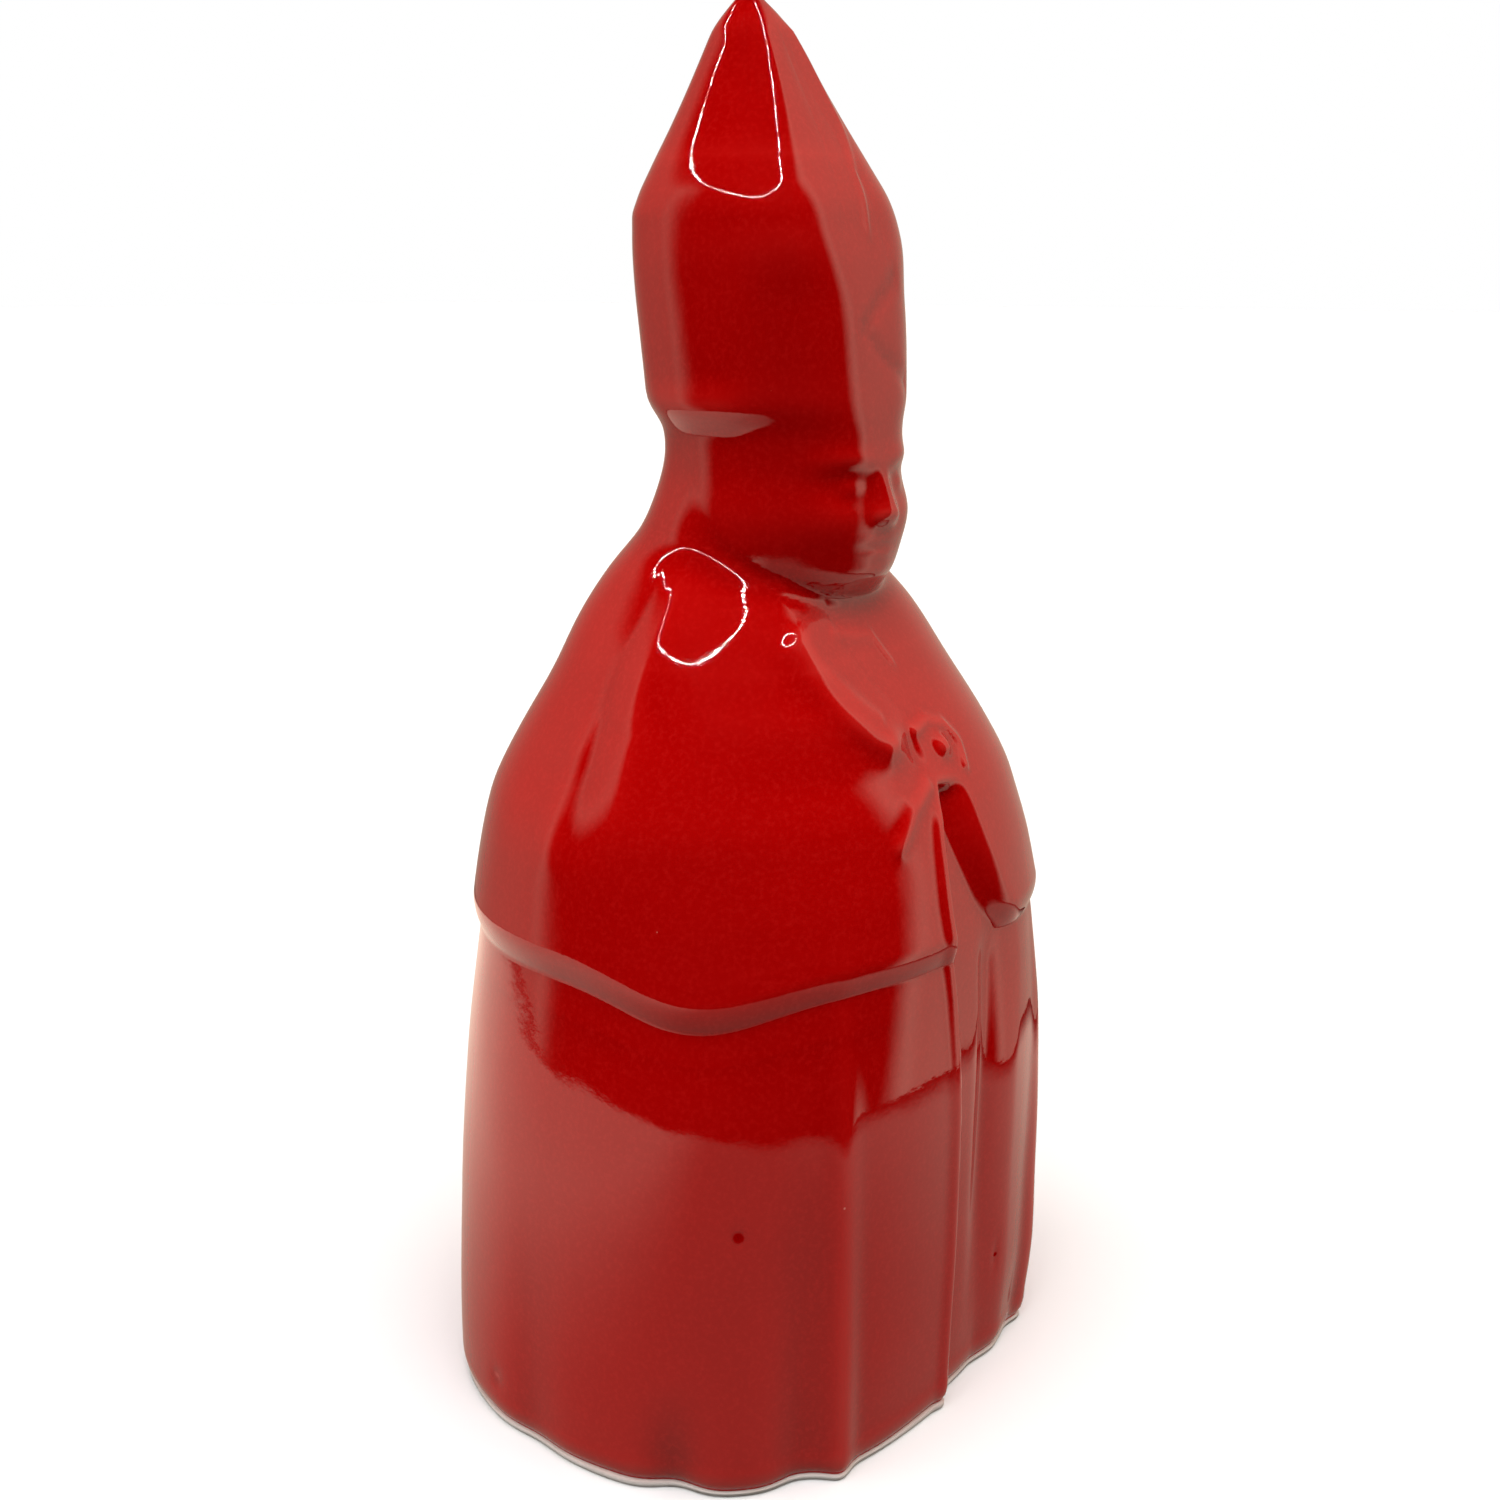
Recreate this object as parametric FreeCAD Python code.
"""A slip-cast ceramic bishop game piece: a hollow earthenware casting under a coat of red glaze.

Millimetres. +Z is up, the origin is the centre of the foot, and the figure faces -Y.
An angle on a section is measured from the front (-Y) towards the figure's right hand (-X).
"""
import FreeCAD
import Part
import math
import os

# Driving dimensions
HEIGHT = 84.0           # foot to the tip of the mitre
GLAZE = 0.30            # thickness of the glaze coat
WALL = 3.0              # thickness of the cast clay wall
BARE_FOOT = 0.45        # height of the wiped, unglazed band at the foot
BASE_THICKNESS = 3.2    # clay under the hollow
DRAIN_RADIUS = 5.5      # trimmed pouring hole in the base
CAVITY_TOP = 73.0       # where the hollow ends, inside the mitre
AXIS_Y = -0.66          # the body's own axis, ahead of the middle of its footprint

# Sections of the robe and shoulder cape:
# height, depth in front of the axis, depth behind it, half width, squareness
ROBE = (
    (0.0, 16.3, 18.4, 19.5, 2.6),
    (2.5, 16.5, 18.7, 19.8, 2.6),
    (12.0, 16.8, 18.1, 19.5, 2.6),
    (22.0, 17.1, 17.0, 18.8, 2.6),
    (29.0, 16.9, 16.0, 17.9, 2.5),
    (34.0, 16.2, 15.1, 17.4, 2.4),
    (38.0, 15.1, 14.0, 16.8, 2.3),
    (42.0, 13.3, 12.2, 15.4, 2.3),
    (46.0, 10.9, 10.1, 13.5, 2.3),
    (49.0, 8.95, 8.85, 11.7, 2.3),
    (51.5, 6.95, 7.55, 9.6, 2.2),
    (54.0, 5.2, 5.7, 7.2, 2.1),
    (58.0, 4.2, 3.2, 4.9, 2.0),
    (62.0, 4.0, 0.8, 3.0, 2.0),
)
BACK_ROUNDNESS = 2.0    # squareness of the half behind the axis
# Sections of the head and the mitre:
# height, middle (from the body's axis), half depth, half width, squareness
HEAD = (
    (44.0, -1.6, 4.2, 4.2, 2.0),
    (49.2, -2.4, 5.0, 5.1, 2.0),
    (50.6, -2.8, 6.0, 6.1, 2.0),
    (52.2, -3.0, 6.75, 6.8, 2.0),
    (55.0, -3.1, 7.1, 7.1, 2.1),
    (58.0, -3.0, 6.95, 6.75, 2.1),
    (60.0, -2.8, 7.0, 6.85, 2.2),
    (61.8, -2.4, 7.3, 7.35, 2.4),
    (66.0, -2.0, 7.4, 7.4, 2.5),
    (69.5, -1.6, 7.25, 7.35, 2.6),
    (71.4, -1.3, 7.05, 7.15, 2.6),
    (72.8, -1.15, 6.75, 6.85, 2.5),
    (74.4, -1.0, 6.0, 6.1, 2.4),
    (77.0, -0.8, 4.6, 4.65, 2.4),
    (80.5, -0.5, 2.9, 2.85, 2.3),
    (82.4, -0.4, 2.1, 2.05, 2.0),
    (84.0, -0.5, 1.25, 1.25, 2.0),
)
DOME_START = 81.8       # the tip is rounded over from here
TIP_SHARE = 0.2         # share of its radius that the tip keeps at the very top
NECK_LOW = 43.0         # from here up the sections are drawn about the head's middle
NECK_HIGH = 50.0
NECK_BLEND = 1.1        # softness of the join between the head and the shoulders
NAPE_BLEND = 2.2        # the same at the back

# The cape's hem
HEM_HEIGHT = 30.2
HEM_DIP = 1.75          # how far the hem sags below the elbow
HEM_DIP_ANGLE = 62.0
HEM_DIP_SPREAD = 16.0
HEM_STEP = 0.62         # how far the cape stands out over the cloak
HEM_ROLL = 1.8          # height over which the hem turns in
CAPE_TOP = 47.0         # where the cape's thickness has died away
CAPE_FADE = 9.0

# The open front: height, angle of the edge that hangs straight, angle of the edge drawn aside
OPENING = (
    (0.0, 2.5, -18.0),
    (12.0, 2.0, -16.5),
    (20.0, 3.0, -15.5),
    (28.0, 5.3, -17.0),
    (30.5, 6.5, -15.0),
    (32.0, 7.2, -11.5),
    (34.0, 7.6, -8.0),
    (37.0, 6.6, -4.0),
    (40.0, 3.5, -2.0),
)
OPENING_TOP = 40.3
OPENING_DEPTH = 0.7
STRAIGHT_SOFTNESS = 1.6     # degrees over which the cloth turns in at each edge
DRAWN_SOFTNESS = 11.0
EDGE_ROLL = 0.26            # bead along the straight edge
EDGE_ROLL_WIDTH = 0.7
EDGE_ROLL_ANGLE = 2.2       # how far behind the edge the bead runs, in degrees

# Folds of the cloak: angle, spread in degrees, depth, height at which it fades out
FOLDS = (
    (36.0, 3.2, 0.55, 29.0),
    (44.0, 4.0, -0.48, 26.0),
    (65.0, 4.8, -0.75, 8.0),
    (94.0, 6.0, -0.35, 24.0),
    (135.0, 8.0, -0.5, 24.0),
    (165.0, 8.0, 0.4, 27.0),
)
TUCK_ANGLE = -42.0      # the front corner on the left hand is drawn in at the foot
TUCK_SPREAD = 24.0
TUCK_DEPTH = 0.45
TUCK_TOP = 7.0

# The crease where the cape turns from the arm to the back
SHOULDER_ANGLE = 78.0
SHOULDER_TURN = 2.2     # degrees that it moves back for every millimetre up
SHOULDER_TURN_START = 44.0
SHOULDER_TURN_SPAN = 12.0
SHOULDER_CUT = 0.6      # how far the cloth falls in behind the crease
SHOULDER_DROP = 10.0    # degrees over which it falls in
SHOULDER_LOW = 36.0     # heights between which the crease shows
SHOULDER_HIGH = 54.0
# The edge on the right-hand side where the cape turns from the chest to the arm
LAPEL_ANGLE = 22.0
LAPEL_TURN = 4.0        # degrees that it moves back for every millimetre up
LAPEL_TURN_START = 43.0
LAPEL_TURN_SPAN = 8.0
LAPEL_RIDGE = 1.0       # how far it stands out
LAPEL_AHEAD = 22.0      # reach of the ridge in front of the edge, in degrees
LAPEL_BEHIND = 44.0
LAPEL_LOW = 41.0        # heights between which the ridge stands
LAPEL_HIGH = 54.0

# Layout of the surface grids
COLUMNS = 112
CAVITY_COLUMNS = 24
CAVITY_ROWS = 18
FOOT_ROWS = 3
FRONT_DENSITY = 0.55    # columns crowd towards the front by this share
# Height at which each band of rows ends, and the rows in it
ROW_BANDS = ((26.0, 16), (33.5, 14), (47.0, 11), (62.5, 22), (71.0, 7), (75.0, 7), (DOME_START, 7))
DOME_ROWS = 5


def slope_at(table, k, column):
    """Slope of one column at a row: the harmonic mean of the slopes on its two sides."""
    sides = []
    for a, b in ((k - 1, k), (k, k + 1)):
        if a >= 0 and b < len(table):
            sides.append((table[b][column] - table[a][column]) / (table[b][0] - table[a][0]))
    if len(sides) == 1:
        return sides[0]
    if sides[0] * sides[1] <= 0:
        return 0.0
    return 2 * sides[0] * sides[1] / (sides[0] + sides[1])


def along(table, height):
    """Row of a table at a height, smoothly interpolated without overshoot."""
    heights = [row[0] for row in table]
    height = min(max(height, heights[0]), heights[-1])
    k = 0
    while k < len(table) - 2 and height > heights[k + 1]:
        k += 1
    step = heights[k + 1] - heights[k]
    t = (height - heights[k]) / step
    values = []
    for column in range(1, len(table[0])):
        value = (1 + 2 * t) * (1 - t) ** 2 * table[k][column]
        value += t * t * (3 - 2 * t) * table[k + 1][column]
        value += t * (1 - t) ** 2 * step * slope_at(table, k, column)
        value += t * t * (t - 1) * step * slope_at(table, k + 1, column)
        values.append(value)
    return values


def clamp(value):
    return min(max(value, 0.0), 1.0)


def rise(value):
    """0 below 0, 1 above 1, and a smooth climb between."""
    t = clamp(value)
    return t * t * (3 - 2 * t)


def hump(value, spread):
    return math.exp(-((value / spread) ** 2))


def hem_height(angle):
    return HEM_HEIGHT - HEM_DIP * hump(abs(angle) - HEM_DIP_ANGLE, HEM_DIP_SPREAD)


def opening(angle, height):
    """1 on the inner robe that shows between the cloak's edges, 0 on the cloak and the cape."""
    straight, drawn = along(OPENING, height)
    near = rise((straight - angle) / STRAIGHT_SOFTNESS + 0.5)
    far = rise((angle - drawn) / DRAWN_SOFTNESS + 0.5)
    return near * far * rise((OPENING_TOP - height) / 1.2)


def cape_relief(angle, height):
    """The cape standing out over the cloak, and the opening sunk behind both."""
    inner = opening(angle, height)
    turn = clamp((height - hem_height(angle)) / HEM_ROLL)
    step = HEM_STEP * (1.0 - (1.0 - turn) ** 1.7) * rise((CAPE_TOP - height) / CAPE_FADE)
    return step * (1.0 - inner) - OPENING_DEPTH * inner


def edge_relief(angle, height, reach):
    """Bead along the straight edge of the opening."""
    behind = angle - along(OPENING, height)[0] - EDGE_ROLL_ANGLE
    bead = EDGE_ROLL * hump(math.radians(behind) * reach, EDGE_ROLL_WIDTH)
    return bead * rise((OPENING_TOP - height) / 2.0)


def fold_relief(angle, height):
    """Folds of the cloak, fading out upwards."""
    out = -TUCK_DEPTH * hump(angle - TUCK_ANGLE, TUCK_SPREAD) * rise((TUCK_TOP - height) / TUCK_TOP)
    for centre, spread, depth, top in FOLDS:
        out += depth * hump(abs(angle) - centre, spread) * rise((top - height) / top)
    return out


def shoulder_relief(angle, height):
    """Crease down each shoulder, leaning back as it climbs, with the cloth falling in behind it."""
    climbed = min(max(height - SHOULDER_TURN_START, 0.0), SHOULDER_TURN_SPAN)
    behind = abs(angle) - SHOULDER_ANGLE - SHOULDER_TURN * climbed
    depth = SHOULDER_CUT * clamp(behind / SHOULDER_DROP) * rise((50.0 - behind) / 38.0)
    return -depth * rise((height - SHOULDER_LOW) / 6.0) * rise((SHOULDER_HIGH - height) / 5.0)


def lapel_relief(angle, height):
    """Blunt edge from the side of the neck down to the throat."""
    climbed = min(max(height - LAPEL_TURN_START, 0.0), LAPEL_TURN_SPAN)
    behind = angle - LAPEL_ANGLE - LAPEL_TURN * climbed
    away = behind / LAPEL_BEHIND if behind > 0 else -behind / LAPEL_AHEAD
    stand = rise((height - LAPEL_LOW) / 4.0) * rise((LAPEL_HIGH - height) / 4.0)
    return LAPEL_RIDGE * clamp(1.0 - away) * stand


def section_reach(angle, origin_y, section):
    """Distance from (0, origin_y) out to the edge of a section, in the direction of the angle."""
    middle, front, back, half, power, back_power = section
    sine = math.sin(math.radians(angle))
    cosine = math.cos(math.radians(angle))

    def fullness(distance):
        y = origin_y - distance * cosine - middle
        if y < 0:
            return (abs(distance * sine) / half) ** power + (-y / front) ** power
        return (abs(distance * sine) / half) ** back_power + (y / back) ** back_power

    if fullness(0.0) >= 1.0:
        return 0.0
    low, high = 0.0, 2.0 * (front + back)
    for _ in range(24):
        guess = 0.5 * (low + high)
        if fullness(guess) < 1.0:
            low = guess
        else:
            high = guess
    return low


def soft_max(a, b, softness):
    share = clamp(0.5 + 0.5 * (a - b) / softness)
    return b * (1 - share) + a * share + softness * share * (1 - share)


def head_reach(angle, height, origin_y):
    """Radius of the head and mitre, rounded over at the tip."""
    if height <= HEAD[0][0]:
        return 0.0
    offset, depth, half, power = along(HEAD, height)
    reach = section_reach(angle, origin_y, (AXIS_Y + offset, depth, depth, half, power, power))
    over = clamp((height - DOME_START) / (HEIGHT - DOME_START))
    return reach * math.sqrt(1.0 - (1.0 - TIP_SHARE ** 2) * over ** 2)


def robe_reach(angle, height, origin_y, relief):
    """Radius of the cloak and cape."""
    if height >= ROBE[-1][0]:
        return 0.0
    front, back, width, power = along(ROBE, height)
    reach = section_reach(angle, origin_y, (AXIS_Y, front, back, width, power, BACK_ROUNDNESS))
    if not relief:
        return reach
    cloth = cape_relief(angle, height) + fold_relief(angle, height)
    cloth += shoulder_relief(angle, height) + lapel_relief(angle, height)
    cloth += edge_relief(angle, height, reach)
    return reach + cloth * rise(reach / 2.0)


def surface(angle, height, relief=True):
    """(section's middle, radius) of the glazed surface in one direction at one height."""
    offset = along(HEAD, height)[0]
    origin_y = AXIS_Y + offset * rise((height - NECK_LOW) / (NECK_HIGH - NECK_LOW))
    head = head_reach(angle, height, origin_y)
    robe = robe_reach(angle, height, origin_y, relief)
    softness = NECK_BLEND + (NAPE_BLEND - NECK_BLEND) * rise((abs(angle) - 60.0) / 60.0)
    return origin_y, soft_max(head, robe, softness)


def surface_point(angle, height, inset):
    """A point on the outside, or on the same form drawn in by an inset."""
    middle, radius = surface(angle, height)
    radius -= inset * min(1.0, radius / 1.5)
    drop = inset * (height / HEIGHT) ** 12
    turn = math.radians(angle)
    return FreeCAD.Vector(-radius * math.sin(turn), middle - radius * math.cos(turn), height - drop)


def cavity_point(angle, height):
    """A point on the hollow, which follows the body without its relief."""
    middle, radius = surface(angle, height, relief=False)
    turn = math.radians(angle)
    radius -= GLAZE + WALL
    return FreeCAD.Vector(-radius * math.sin(turn), middle - radius * math.cos(turn), height)


def column_angles(count):
    """Angles once round, crowded towards the front."""
    angles = []
    for k in range(count):
        turn = math.pi * (2.0 * k / count - 1.0)
        angles.append(math.degrees(turn - FRONT_DENSITY * math.sin(turn)))
    return angles


def row_heights():
    """Heights of the rows, close together where the form changes quickly."""
    heights = [BARE_FOOT]
    for top, count in ROW_BANDS:
        low = heights[-1]
        for k in range(1, count + 1):
            heights.append(low + (top - low) * k / count)
    for k in range(1, DOME_ROWS + 1):
        heights.append(DOME_START + (HEIGHT - DOME_START) * math.sin(0.5 * math.pi * k / DOME_ROWS))
    return heights


def skin(rows):
    """Face of a cubic surface that closes on itself round the figure, from rows of control points."""
    columns = len(rows[0])
    spans = len(rows) - 3
    patch = Part.BSplineSurface()
    patch.buildFromPolesMultsKnots(
        [list(column) for column in zip(*rows)],
        [1] * (columns + 1),
        [4] + [1] * (spans - 1) + [4],
        [float(k) for k in range(columns + 1)],
        [float(k) for k in range(spans + 1)],
        True,
        False,
        3,
        3,
    )
    return patch.toShape()


def rim(face, height):
    """The closed edge of a skin at one height."""
    for edge in face.Edges:
        box = edge.BoundBox
        if abs(box.ZMin - height) < 0.01 and abs(box.ZMax - height) < 0.01:
            return Part.Wire([edge])
    raise ValueError("no rim at height %.2f" % height)


def ring(outside, inside):
    """Flat face between two closed wires."""
    return Part.makeFace([outside, inside], "Part::FaceMakerBullseye")


def solid_from(faces):
    """One solid from faces that meet edge to edge."""
    shell = Part.makeShell(faces)
    shell.sewShape()
    solid = Part.Solid(shell)
    solid.fix(1e-4, 1e-4, 1e-3)
    return solid


def make_outer_skin(angles):
    return skin([[surface_point(a, z, 0.0) for a in angles] for z in row_heights()])


def make_bonded_skin(angles):
    """The face where the glaze is fused to the clay."""
    return skin([[surface_point(a, z, GLAZE) for a in angles] for z in row_heights()])


def make_foot_skin(angles):
    """The bare band of clay from the ground up to the glaze."""
    heights = [BARE_FOOT * k / FOOT_ROWS for k in range(FOOT_ROWS + 1)]
    foot = [surface_point(a, BARE_FOOT, GLAZE) for a in angles]
    return skin([[FreeCAD.Vector(p.x, p.y, z) for p in foot] for z in heights])


def make_cavity_skin():
    angles = column_angles(CAVITY_COLUMNS)
    step = (CAVITY_TOP - BASE_THICKNESS) / CAVITY_ROWS
    heights = [BASE_THICKNESS + step * k for k in range(CAVITY_ROWS + 1)]
    return skin([[cavity_point(a, z) for a in angles] for z in heights])


def make_glaze_coat(outer, bonded):
    lip = ring(rim(outer, BARE_FOOT), rim(bonded, BARE_FOOT))
    tip = Part.Face(rim(outer, HEIGHT))
    under_tip = Part.Face(rim(bonded, HEIGHT - GLAZE))
    return solid_from([outer, bonded, lip, tip, under_tip])


def make_bisque_casting(bonded, foot, cavity):
    circle = Part.Circle(FreeCAD.Vector(0, AXIS_Y, 0), FreeCAD.Vector(0, 0, 1), DRAIN_RADIUS)
    under = Part.Wire([circle.toShape()])
    inside = under.copy()
    inside.translate(FreeCAD.Vector(0, 0, BASE_THICKNESS))
    bore = under.extrude(FreeCAD.Vector(0, 0, BASE_THICKNESS))
    return solid_from([
        bonded,
        foot,
        cavity,
        bore.Faces[0],
        ring(rim(foot, 0.0), under),
        ring(rim(cavity, BASE_THICKNESS), inside),
        Part.Face(rim(cavity, CAVITY_TOP)),
        Part.Face(rim(bonded, HEIGHT - GLAZE)),
    ])


def main():
    os.makedirs("parts", exist_ok=True)
    angles = column_angles(COLUMNS)
    outer = make_outer_skin(angles)
    bonded = make_bonded_skin(angles)
    parts = {
        "glaze_coat": make_glaze_coat(outer, bonded),
        "bisque_casting": make_bisque_casting(bonded, make_foot_skin(angles), make_cavity_skin()),
    }
    for name, shape in parts.items():
        shape.exportStep("parts/%s.step" % name)
        print(name, shape.ShapeType, "valid", shape.isValid(), "closed", shape.Shells[0].isClosed(),
              "volume %.0f mm3" % shape.Volume, shape.BoundBox)


main()
